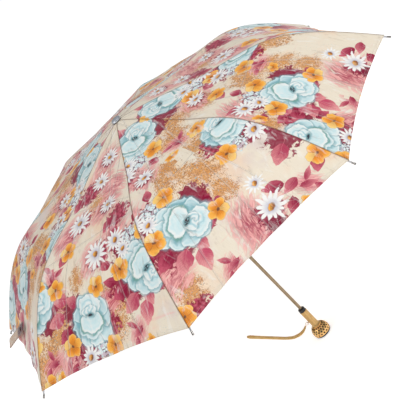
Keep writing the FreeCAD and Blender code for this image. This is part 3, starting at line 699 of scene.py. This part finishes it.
# where each cut of cloth has its flowers: grouping, down, across, turn, 1 or -1 if mirrored
CUTS = [
    [("roses", 390, 30, 0, 1), ("roses", 102, -12, 180, 1), ("fallen", 451, 145, 0, -1),
     ("pair", 486, -82, 0, 1), ("pansy", 238, 20, 0, 1), ("pansy", 201, -50, 40, 1),
     ("daisy", 186, 10, 0, 1), ("daisy", 145, -26, 0, 1), ("dabs", 365, 128, 100, 1),
     ("fallen", 244, -105, 90, 1), ("sprig", 505, 25, 0, 1), ("sprig", 311, -44, 60, 1),
     ("sprig", 330, 140, 0, 1), ("dabs", 404, -32, 20, 1)],
    [("roses", 384, 65, 0, 1), ("roses", 106, 11, 180, -1), ("fallen", 293, -97, 0, -1),
     ("pair", 481, -46, 0, 1), ("sprig", 505, 62, 20, 1), ("sprig", 498, -112, 0, -1),
     ("dabs", 262, 14, 30, 1), ("dabs", 352, -22, 60, 1), ("thicket", 405, -140, 0, 1),
     ("pansy", 469, -156, 0, 1), ("dabs", 480, 138, 90, 1), ("crimson", 514, 150, 0, 1),
     ("pansy", 498, 170, 0, 1), ("daisy", 229, 52, 0, 1), ("plume", 436, 140, 70, 1),
     ("sprig", 222, -30, 90, 1)],
    [("roses", 393, -125, 0, 1), ("fallen", 442, 22, 0, 1), ("big_daisy", 332, -18, 0, 1),
     ("big_daisy", 238, 38, 0, 1), ("daisy", 225, -32, 0, 1), ("daisy", 150, 6, 0, 1),
     ("daisy", 98, -8, 0, 1), ("pansy", 295, 56, 0, 1), ("plume", 262, 66, 60, 1),
     ("plume", 182, -34, 100, 1), ("sprig", 484, 132, 30, 1), ("pansy", 516, 150, 0, 1),
     ("dabs", 500, 165, 0, 1), ("crimson", 170, 34, 0, 1), ("crimson", 265, -66, 0, 1),
     ("sprig", 330, 96, 120, 1), ("roses", 372, 150, 200, -1), ("dabs", 210, 0, 80, 1),
     ("sprig", 495, -75, 0, 1)],
]
CUT_OF_GORE = [0, 1, 2, 0, 1, 2, 1, 2]
BLUSH = ("plume", 6, 6, 40, 50, 0.5, 1.3)
GROUPINGS = {"roses": ROSE_BOUQUET, "fallen": FALLEN_BOUQUET, "pair": DAISY_PAIR, "sprig": SPRIG,
             "pansy": single("pansy", 20, 0.4, ("leaf", 14, 12, 15, 40, 0.2, 1.0)),
             "daisy": single("daisy", 23, 0.7, BLUSH, ("thicket", 4, 4, 24, 0, 0.3, 1.0)),
             "big_daisy": single("daisy", 29, 0.2, BLUSH, ("thicket", 2, -6, 34, 0, 0.7, 1.0)),
             "dabs": single("foliage", 38, 0.5), "plume": single("plume", 46, 0.6),
             "thicket": single("thicket", 40, 0.4, ("leaf", 20, 24, 20, 60, 0.6, 1.0)),
             "crimson": single("thicket", 34, 0.9, ("leaf", 16, 22, 17, 30, 0.2, 1.0))}


def gore_motifs(gore):
    """Every motif of one gore, in the gore's own millimetres."""
    found = []
    for code, down, across, degrees, mirror in CUTS[CUT_OF_GORE[gore]]:
        turn = math.radians(degrees)
        for kind, ahead, aside, radius, spin, tone, stretch in GROUPINGS[code]:
            aside *= mirror
            spin = spin * mirror + degrees
            found.append((kind, down + ahead * math.cos(turn) - aside * math.sin(turn),
                          across + ahead * math.sin(turn) + aside * math.cos(turn),
                          radius, spin, tone, stretch))
    return found


# ---- canopy --------------------------------------------------------------------------

ROWS = 72
COLUMNS = 48
SEAM_STEPS = 120
HOLE = 4 * MM
HEM_DIP = 11 * MM
SAG = 7 * MM
CLOTH = 0.5 * MM
PUCKER, SLACK, TENSION, PULL = 1.9 * MM, 2.4 * MM, 1.3 * MM, 2.2 * MM
KNEE_REACH = 9 * MM
HUB_START, HUB_END = 6 * MM, 20 * MM
KNEE_LIFT = (3.6 * MM, 6.6 * MM)
HEM_SLOPE = math.radians(46)


def joint_place(name):
    """A hinge's rest position as (distance from the shaft, height)."""
    found = next(joint for joint in frame["joints"] if joint["name"] == name)
    x, y, z = found["pos_m"]
    return math.hypot(x, y), z


class Seam:
    """The cloth's line over a rib, as distance from the shaft and height by arc length."""

    def __init__(self):
        low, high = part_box("canopy")
        first, second = joint_place("mid_hinge_1"), joint_place("outer_hinge_1")
        top = high.z - 0.1 * MM
        knots = [(HOLE, top), (12 * MM, top), (first[0], first[1] + KNEE_LIFT[0]),
                 (second[0] + 1.5 * MM, second[1] + KNEE_LIFT[1]), (high.x, low.z + 1.6 * MM)]
        knots = [np.array(knot) for knot in knots]
        chords = [after - before for before, after in zip(knots, knots[1:])]
        units = [chord / np.linalg.norm(chord) for chord in chords]
        leave = [units[0]]
        leave += [(one + two) / np.linalg.norm(one + two) for one, two in zip(units, units[1:])]
        leave.append(np.array((math.cos(HEM_SLOPE), -math.sin(HEM_SLOPE))))
        share = np.linspace(0, 1, SEAM_STEPS, endpoint=False)[:, None]
        points = []
        for index, chord in enumerate(chords):
            size = np.linalg.norm(chord)
            points.append((2 * share**3 - 3 * share**2 + 1) * knots[index]
                          + (share**3 - 2 * share**2 + share) * leave[index] * size
                          + (3 * share**2 - 2 * share**3) * knots[index + 1]
                          + (share**3 - share**2) * leave[index + 1] * size)
        self.points = np.vstack(points + [knots[-1][None]])
        steps = np.linalg.norm(np.diff(self.points, axis=0), axis=1)
        self.reached = np.concatenate([[0.0], np.cumsum(steps)])
        self.length = self.reached[-1]
        self.knees = [self.reached[SEAM_STEPS * 2], self.reached[SEAM_STEPS * 3]]

    def at(self, down):
        return (np.interp(down, self.reached, self.points[:, 0]),
                np.interp(down, self.reached, self.points[:, 1]))


def ripple(down, across, gore, length):
    """Small hills of the cloth along its normal: puckers at the seams, slack and pull folds."""
    share = down / length
    from_seam = 1 - np.abs(across)
    phase = gore * 2.4
    pucker = np.sin(down / MM / 7.5 + phase + 2.0 * np.sin(down / MM / 31.0 + phase))
    pucker = pucker * np.exp(-from_seam * 9) * from_seam * 9 * PUCKER * share
    slack = np.sin(across * 5.2 + phase) * np.cos(down / MM / 46.0 + phase * 1.7)
    slack = slack * (1 - across**2) * SLACK * share
    drawn = np.sin(across * 15.0 + phase) * (1 - across**2) * TENSION * share**5
    slant = down / MM / 38.0 + across * 3.4 + phase
    pulled = (1 - np.abs(np.sin(slant + 0.7 * np.sin(across * 4.0 + phase)))) ** 3
    pulled = pulled * (1 - across**2) * from_seam * PULL * share
    return pucker + slack + drawn + pulled


def cloth_point(seam, gore, down, across):
    """Positions of cloth points of one gore; across is -1 to 1 between its two ribs."""
    share = down / seam.length
    reached = down - HEM_DIP * (1 - across**2) * share**2
    radius, height = seam.at(reached)
    ahead, lower = seam.at(reached + 0.2 * MM)
    slope = np.arctan2(height - lower, np.maximum(ahead - radius, 1e-7))
    slope = np.where(reached + 0.2 * MM > seam.length, HEM_SLOPE, slope)
    lift = ripple(down, across, gore, seam.length) - SAG * (1 - across**2) * share**1.5
    out = radius * math.cos(HALF_GORE) + lift * np.sin(slope)
    height = height + lift * np.cos(slope)
    aside = radius * math.sin(HALF_GORE) * across
    azimuth = -HALF_GORE * (2 * gore + 1)
    x = out * math.cos(azimuth) + aside * math.sin(azimuth)
    y = out * math.sin(azimuth) - aside * math.cos(azimuth)
    return np.stack([x, y, height], -1)


def canopy_mesh(seam, materials):
    """The whole cloth as one grid of quads, with the print's coordinates at its corners."""
    round_count = GORES * COLUMNS
    rows = np.arange(ROWS + 1)
    rings = np.zeros((ROWS + 1, round_count, 3))
    for gore in range(GORES):
        down, across = np.meshgrid(rows / ROWS * seam.length,
                                   np.arange(COLUMNS) / COLUMNS * 2 - 1, indexing="ij")
        rings[:, gore * COLUMNS:(gore + 1) * COLUMNS] = cloth_point(seam, gore, down, across)
    index = np.arange((ROWS + 1) * round_count).reshape(ROWS + 1, round_count)
    beside = np.roll(index, -1, axis=1)
    faces = np.stack([index[:-1], beside[:-1], beside[1:], index[1:]], -1).reshape(-1, 4)
    mesh = new_mesh("canopy_cloth", rings.reshape(-1, 3).tolist(), faces.tolist(), *materials)
    row, column = np.meshgrid(rows[:-1], np.arange(round_count), indexing="ij")
    row, column = row.ravel(), column.ravel()
    gore = column // COLUMNS
    down = np.stack([row, row, row + 1, row + 1], -1) / ROWS * seam.length
    step = column % COLUMNS
    share = np.stack([step, step + 1, step + 1, step], -1) / COLUMNS * 2 - 1
    radius, _ = seam.at(down)
    across = share * radius * math.sin(HALF_GORE)
    gore = np.repeat(gore[:, None], 4, 1)
    to_seam = (1 - np.abs(share)) * radius * math.sin(HALF_GORE)
    store(mesh, "gore", np.stack([across, down, gore * 1.0], -1))
    store(mesh, "edge", np.stack([to_seam, seam.length - down, share], -1))
    store_motifs(mesh, gore[:, 0], down / MM, across / MM)
    return mesh


def store(mesh, name, corners):
    """Keep one vector for each corner of each face."""
    kept = mesh.attributes.new(name, "FLOAT_VECTOR", "CORNER")
    kept.data.foreach_set("vector", corners.astype(np.float32).ravel())


def store_motifs(mesh, gore, down, across):
    """Give every face its place in the motif that covers it, one stored layer per overlap."""
    nowhere = (1.0, 9.0, 0.0)
    layers = {}
    for kind, _, count in MOTIFS:
        for layer in range(count):
            layers[kind, layer] = np.full((*down.shape, 3), nowhere)
    room = {kind: count for kind, _, count in MOTIFS}
    for number in range(GORES):
        mine = np.flatnonzero(gore == number)
        for kind, ahead, aside, radius, spin, tone, stretch in gore_motifs(number):
            turn = math.radians(spin)
            one, two = down[mine] - ahead, across[mine] - aside
            x = (one * math.cos(turn) + two * math.sin(turn)) / (radius * stretch)
            y = (two * math.cos(turn) - one * math.sin(turn)) / radius
            near = np.hypot(x, y).min(axis=1) < 1.25
            choices = [layers[kind, layer] for layer in range(room[kind])]
            taken = [(held[mine[near]][:, 0, 1] != nowhere[1]).sum() for held in choices]
            held = choices[int(np.argmin(taken))]
            free = near & (held[mine][:, 0, 1] == nowhere[1])
            held[mine[free]] = np.stack([x[free], y[free], np.full_like(x[free], tone)], -1)
    for (kind, layer), corners in layers.items():
        store(mesh, f"{kind}_{layer}", corners)


def bend_with(thing, home, weights):
    """Let a thing that rides home bend with other bodies, by each one's hold on its vertices."""
    rig = new_object(f"{thing.name}_rig", bpy.data.armatures.new(f"{thing.name}_rig"))
    bpy.context.view_layer.objects.active = rig
    bpy.ops.object.mode_set(mode="EDIT")
    for name in weights:
        bone = rig.data.edit_bones.new(name)
        bone.head, bone.tail = (0, 0, 0), (0, 0.1, 0)
    bpy.ops.object.mode_set(mode="OBJECT")
    for name, hold in weights.items():
        copy = rig.pose.bones[name].constraints.new("COPY_TRANSFORMS")
        copy.target = frame["bodies"][name]
        group = thing.vertex_groups.new(name=name)
        for vertex in np.flatnonzero(hold > 1e-4):
            group.add([int(vertex)], float(hold[vertex]), "REPLACE")
    rig.hide_render = True
    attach(rig, home)
    bend = thing.modifiers.new("follow_ribs", "ARMATURE")
    bend.object = rig


def ease(number, low, high):
    """0 below low, 1 above high, smooth between, for whole arrays."""
    share = np.clip((number - low) / (high - low), 0, 1)
    return share * share * (3 - 2 * share)


def rib_holds(seam, down, column):
    """How far each rib part, and the crown, holds each vertex of the cloth."""
    past = [ease(down, knee - KNEE_REACH, knee + KNEE_REACH) for knee in seam.knees]
    off_hub = ease(down, HUB_START, HUB_END)
    sections = {"top": off_hub * (1 - past[0]), "mid": past[0] * (1 - past[1]),
                "outer": past[1]}
    weights = {"crown": 1 - off_hub}
    toward_next = ease((column % COLUMNS) / COLUMNS, 0.0, 1.0)
    gore = column // COLUMNS
    for number in range(1, GORES + 1):
        side = np.where(gore == number - 1, 1 - toward_next, 0.0)
        side += np.where(gore == (number - 2) % GORES, toward_next, 0.0)
        for part, share in sections.items():
            weights[f"{part}_rib_{number}"] = side * share
    return weights


def make_canopy(groups):
    """The printed cloth over the ribs, as one closed thin sheet that folds with them."""
    seam = Seam()
    faces = (printed_satin("canopy_satin", groups, 0.0),
             printed_satin("canopy_inner_face", groups, 0.42))
    cloth = new_object("canopy_cloth", canopy_mesh(seam, faces))
    stand_for(cloth, "crown", "canopy")
    count = np.arange((ROWS + 1) * GORES * COLUMNS)
    row, column = np.divmod(count, GORES * COLUMNS)
    bend_with(cloth, "crown", rib_holds(seam, row / ROWS * seam.length, column))
    thick = cloth.modifiers.new("cloth_thickness", "SOLIDIFY")
    thick.thickness = CLOTH
    thick.offset = -1.0
    thick.material_offset = 1
    thick.use_even_offset = False


# ---- straps --------------------------------------------------------------------------

STRAP_AZIMUTH = math.radians(198)
# the cord's middle line in the upright plane through the ring, as (outward, up) millimetres
CORD_LINE = [(17.2, 38.2), (22.0, 35.2), (28.5, 33.0), (38.0, 33.0), (51.1, 38.2),
             (63.0, 49.6), (92.1, 84.6), (111.5, 108.2), (115.0, 112.4)]
CORD_SWELL = [0.46, 0.62, 0.84, 0.98, 1.0, 0.94, 0.98, 1.12, 0.66]
CORD_WIDTH = 7.0 * MM
CORD_THICK = 6.8 * MM


def make_wrist_strap():
    """The doubled woven cord: two rounded strands side by side that close into a loop."""
    line = np.array(CORD_LINE) * MM
    steps = np.concatenate([[0], np.cumsum(np.linalg.norm(np.diff(line, axis=0), axis=1))])
    count, sides = 120, 28
    reached = np.linspace(0, steps[-1], count)
    smooth = [np.interp(reached, steps, line[:, axis]) for axis in (0, 1)]
    kernel = np.hanning(15) / np.hanning(15).sum()
    smooth = [np.convolve(np.pad(track, 7, "reflect", reflect_type="odd"), kernel, "valid")
              for track in smooth]
    middle = np.stack(smooth, -1)
    along = np.gradient(middle, axis=0)
    along /= np.linalg.norm(along, axis=1)[:, None]
    normal = np.stack([-along[:, 1], along[:, 0]], -1)
    swell = np.interp(reached, steps, CORD_SWELL)
    angle = np.arange(sides) / sides * 2 * math.pi
    waist = 1 - 0.24 * np.exp(-(np.cos(angle) / 0.30) ** 2)
    vertices, corners = [], []
    for index in range(count):
        for turn, pinch in zip(angle, waist):
            aside = math.cos(turn) * CORD_WIDTH / 2 * min(1.0, swell[index] * 1.1)
            off = math.sin(turn) * CORD_THICK / 2 * swell[index] * pinch
            out, up = middle[index] + normal[index] * off
            vertices.append((out * math.cos(STRAP_AZIMUTH) - aside * math.sin(STRAP_AZIMUTH),
                             out * math.sin(STRAP_AZIMUTH) + aside * math.cos(STRAP_AZIMUTH),
                             up))
    faces = []
    girth = math.pi * (CORD_WIDTH + CORD_THICK) / 2
    for index in range(count - 1):
        for side in range(sides):
            beside = (side + 1) % sides
            start = index * sides
            faces.append((start + side, start + sides + side, start + sides + beside,
                          start + beside))
            for step, turn in ((0, side), (1, side), (1, side + 1), (0, side + 1)):
                corners.append((reached[index + step], turn / sides * girth, 0.0))
    for end, order in ((0, 1), ((count - 1) * sides, -1)):
        faces.append(tuple(end + side for side in range(sides))[::order])
        corners += [(reached[0 if end == 0 else -1], side / sides * girth, 0.0)
                    for side in range(sides)][::order]
    mesh = new_mesh("wrist_cord", vertices, faces, cord())
    store(mesh, "cord", np.array(corners))
    stand_for(new_object("wrist_cord", mesh), "wrist_strap", "wrist_strap")


def strap_satin():
    """The tie strap's cloth: the same satin, cream with a crimson flower end and painted shade
    in dark brown along its edges.
    """
    material, pen, surface = new_material("tie_strap_satin")
    along, across, rim = pen.split(pen.stored("band"))
    place = pen.join(along, across, 0.0)
    rag = pen.noise(place, 120.0, 4.0, 0.6)
    colour = pen.blend(pen.ease(rag, 0.40, 0.62), (0.72, 0.60, 0.46), (0.66, 0.36, 0.20))
    colour = pen.blend(pen.ease(along + (rag - 0.5) * 0.05, 0.066, 0.050), colour, WINE)
    colour = pen.blend(pen.ease(pen.cells(place, 190.0) + rag * 0.3, 0.36, 0.26) * 0.8,
                       colour, ORANGE)
    # painted shade: dark brown along both long edges of the band
    colour = pen.blend(pen.ease(rim, 0.0024, 0.0006) * 0.9, colour, (0.30, 0.13, 0.05))
    stitch = pen.wave(along, 0.0024) * 0.5 + 0.5
    stitch = stitch * pen.close(rim - 0.0023, 0.0004, 0.0001)
    colour = pen.blend(stitch * 0.5, colour, WHITE)
    weft = pen.wave(along + across, 0.0005)
    finish_surface(pen, surface, Base_Color=colour, Roughness=0.45, Sheen_Weight=0.3,
                   Normal=pen.bump(weft * 0.12 + rag * 0.8 - stitch * 0.3, 0.0006))
    return material


def make_tie_strap():
    """The closing band: a doubled, edge-stitched strip with a pointed end and a soft curl."""
    middle, spread, (along, side, normal) = node_axes("tie_strap")
    if along[2] > 0:
        along = -along
    if normal[2] < 0:
        normal = -normal
    side = np.cross(normal, along)
    reach, width = np.ptp(spread @ along), np.ptp(spread @ side)
    middle = middle + along * (((spread @ along).max() + (spread @ along).min()) / 2)
    rows, columns = 48, 10
    taper = 6 * MM
    vertices, faces, corners = [], [], []
    for row in range(rows + 1):
        ahead = row / rows * reach
        narrow = max(0.0, ahead - (reach - taper)) / taper
        half = width / 2 * (1 - 0.42 * narrow**1.5)
        curl = 3.5 * MM * (ahead / reach) ** 3 * math.sin(ahead / reach * 3.0)
        for column in range(columns + 1):
            aside = (column / columns * 2 - 1) * half
            bow = 0.7 * MM * math.sin(ahead / reach * 9.0 + column * 0.35)
            point = middle + along * (ahead - reach / 2) + side * aside
            vertices.append(tuple(point + normal * (curl * 0.5 + bow * 0.5)))

    def rim(row, column):
        ahead = row / rows * reach
        return (ahead, (column / columns - 0.5) * width,
                min(column, columns - column) / columns * width)

    for row in range(rows):
        for column in range(columns):
            start = row * (columns + 1) + column
            faces.append((start, start + columns + 1, start + columns + 2, start + 1))
            corners += [rim(row, column), rim(row + 1, column), rim(row + 1, column + 1),
                        rim(row, column + 1)]
    mesh = new_mesh("tie_band", vertices, faces, strap_satin())
    store(mesh, "band", np.array(corners))
    band = new_object("tie_band", mesh)
    hang_between_ribs(band)
    thick = band.modifiers.new("doubled_cloth", "SOLIDIFY")
    thick.thickness = 1.2 * MM
    thick.offset = 0.0
    stand_for(band, "outer_rib_5", "tie_strap")


# the fourth rib's direction in degrees; ribs are numbered clockwise from +X
FOURTH_RIB = -135


def hang_between_ribs(thing):
    """Let what hangs from the hem between ribs 4 and 5 go where the cloth at the snap goes."""
    (x, y, _), _, _ = node_axes("tie_snap")
    azimuth = math.degrees(math.atan2(y, x))
    toward_fifth = ease(((FOURTH_RIB - azimuth) % 360) / (360 / GORES), 0.0, 1.0)
    every = np.ones(len(thing.data.vertices))
    bend_with(thing, "outer_rib_5", {"outer_rib_4": every * (1 - toward_fifth),
                                     "outer_rib_5": every * toward_fifth})


# the snap's outline from its rim to its middle, as shares of its radius and its height
SNAP_OUTLINE = [(0.96, 0.0), (1.0, 0.06), (1.0, 0.34), (0.95, 0.42), (0.78, 0.46), (0.74, 0.80),
                (0.66, 0.95), (0.50, 1.0), (0.24, 0.96), (0.20, 0.82), (0.08, 0.80)]


def make_snap():
    """The tie strap's press stud: a flanged disc with a raised socket."""
    middle, spread, (aside, _, normal) = node_axes("tie_snap")
    if normal[2] < 0:
        normal = -normal
    ahead = np.cross(normal, aside)
    height = np.ptp(spread @ normal)
    radius = np.ptp(spread @ aside) / 2
    foot = middle + normal * (spread @ normal).min()
    sides = 40
    vertices = [foot + normal * height * 0.02]
    for reach, up in SNAP_OUTLINE:
        for side in range(sides):
            turn = side / sides * 2 * math.pi
            vertices.append(foot + normal * height * up + radius * reach
                            * (aside * math.cos(turn) + ahead * math.sin(turn)))
    vertices.append(foot + normal * height * 0.78)
    last = len(vertices) - 1
    faces = []
    for side in range(sides):
        beside = (side + 1) % sides
        faces.append((0, 1 + beside, 1 + side))
        for ring in range(len(SNAP_OUTLINE) - 1):
            start = 1 + ring * sides
            faces.append((start + side, start + beside, start + sides + beside,
                          start + sides + side))
        faces.append((last, last - sides + side, last - sides + beside))
    plate = metal("snap_dark_plate", (0.16, 0.10, 0.09), (0.06, 0.03, 0.03), 0.34, EVEN)
    stud = new_object("tie_stud", new_mesh("tie_stud", vertices, faces, plate))
    hang_between_ribs(stud)
    stand_for(stud, "outer_rib_5", "tie_snap")


# ---- stage, light and camera ---------------------------------------------------------

FLOOR_REACH = 60.0


def make_floor():
    """A plain white floor under the knob, bright enough to read as studio paper."""
    low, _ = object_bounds()
    mesh = bpy.data.meshes.new("studio_floor")
    corners = [(-FLOOR_REACH, -FLOOR_REACH), (FLOOR_REACH, -FLOOR_REACH),
               (FLOOR_REACH, FLOOR_REACH), (-FLOOR_REACH, FLOOR_REACH)]
    mesh.from_pydata([(x, y, low.z - 0.5 * MM) for x, y in corners], [], [(0, 1, 2, 3)])
    floor = new_object("studio_floor", mesh)
    material, pen, surface = new_material("studio_paper")
    place = pen.own_place()
    tooth = pen.noise(place, 40.0, 2.0)
    paper = pen.blend(tooth, (0.80, 0.80, 0.80), (0.84, 0.84, 0.84))
    finish_surface(pen, surface, Base_Color=paper, Roughness=0.9, Specular_IOR_Level=0.0,
                   Emission_Color=(1.0, 1.0, 1.0), Emission_Strength=0.60)
    mesh.materials.append(material)


def make_world():
    """An even room that is dimmer low down, for metal to mirror, and white to the camera."""
    world = bpy.data.worlds.new("studio_room")
    bpy.context.scene.world = world
    world.use_nodes = True
    pen = Pen(world.node_tree)
    background = world.node_tree.nodes["Background"]
    _, _, up = pen.split(pen.node("ShaderNodeTexCoord").outputs["Generated"])
    seen = Wire(pen, pen.node("ShaderNodeLightPath").outputs["Is Camera Ray"])
    room = pen.blend(pen.ease(up, -0.1, 0.8), (0.50, 0.50, 0.51), (1.0, 1.0, 1.0))
    pen.feed(background.inputs["Color"], pen.blend(seen, room, (1.0, 1.0, 1.0)))
    pen.feed(background.inputs["Strength"], seen * 0.45 + 0.55)


def add_light(name, place, aim, size, power):
    lamp = bpy.data.lights.new(name, "AREA")
    lamp.shape = "DISK"
    lamp.size = size
    lamp.energy = power
    made = new_object(name, lamp)
    made.location = place
    made.rotation_euler = (Vector(aim) - Vector(place)).to_track_quat("-Z", "Y").to_euler()


def make_camera():
    """The photograph's long-lens view, tilted so that the shaft runs to the lower right."""
    place = Vector((0.6085, -1.9006, 1.1517))
    aim = Vector((0.0059, 0.0073, 0.3648))
    roll = math.radians(44.3)
    ahead = (aim - place).normalized()
    level = ahead.cross(Vector((0, 0, 1))).normalized()
    upright = level.cross(ahead)
    up = upright * math.cos(roll) + level * math.sin(roll)
    right = ahead.cross(up)
    lens = bpy.data.cameras.new("camera")
    lens.lens = 97.7
    lens.sensor_width = 36.0
    lens.clip_end = 200.0
    camera = new_object("camera", lens)
    turn = Matrix((right, up, -ahead)).transposed().to_4x4()
    camera.matrix_world = Matrix.Translation(place) @ turn
    bpy.context.scene.camera = camera


def main():
    paint_hardware()
    groups = {kind: motif_group(kind, draw) for kind, draw, _ in MOTIFS}
    make_canopy(groups)
    make_wrist_strap()
    make_tie_strap()
    make_snap()
    make_floor()
    make_world()
    add_light("key", (1.6, -1.2, 2.6), (0, 0, 0.4), 1.1, 36)
    add_light("fill", (-2.2, -1.8, 1.6), (0, 0, 0.4), 2.0, 14)
    make_camera()
    bpy.context.scene.view_settings.view_transform = "Standard"


main()
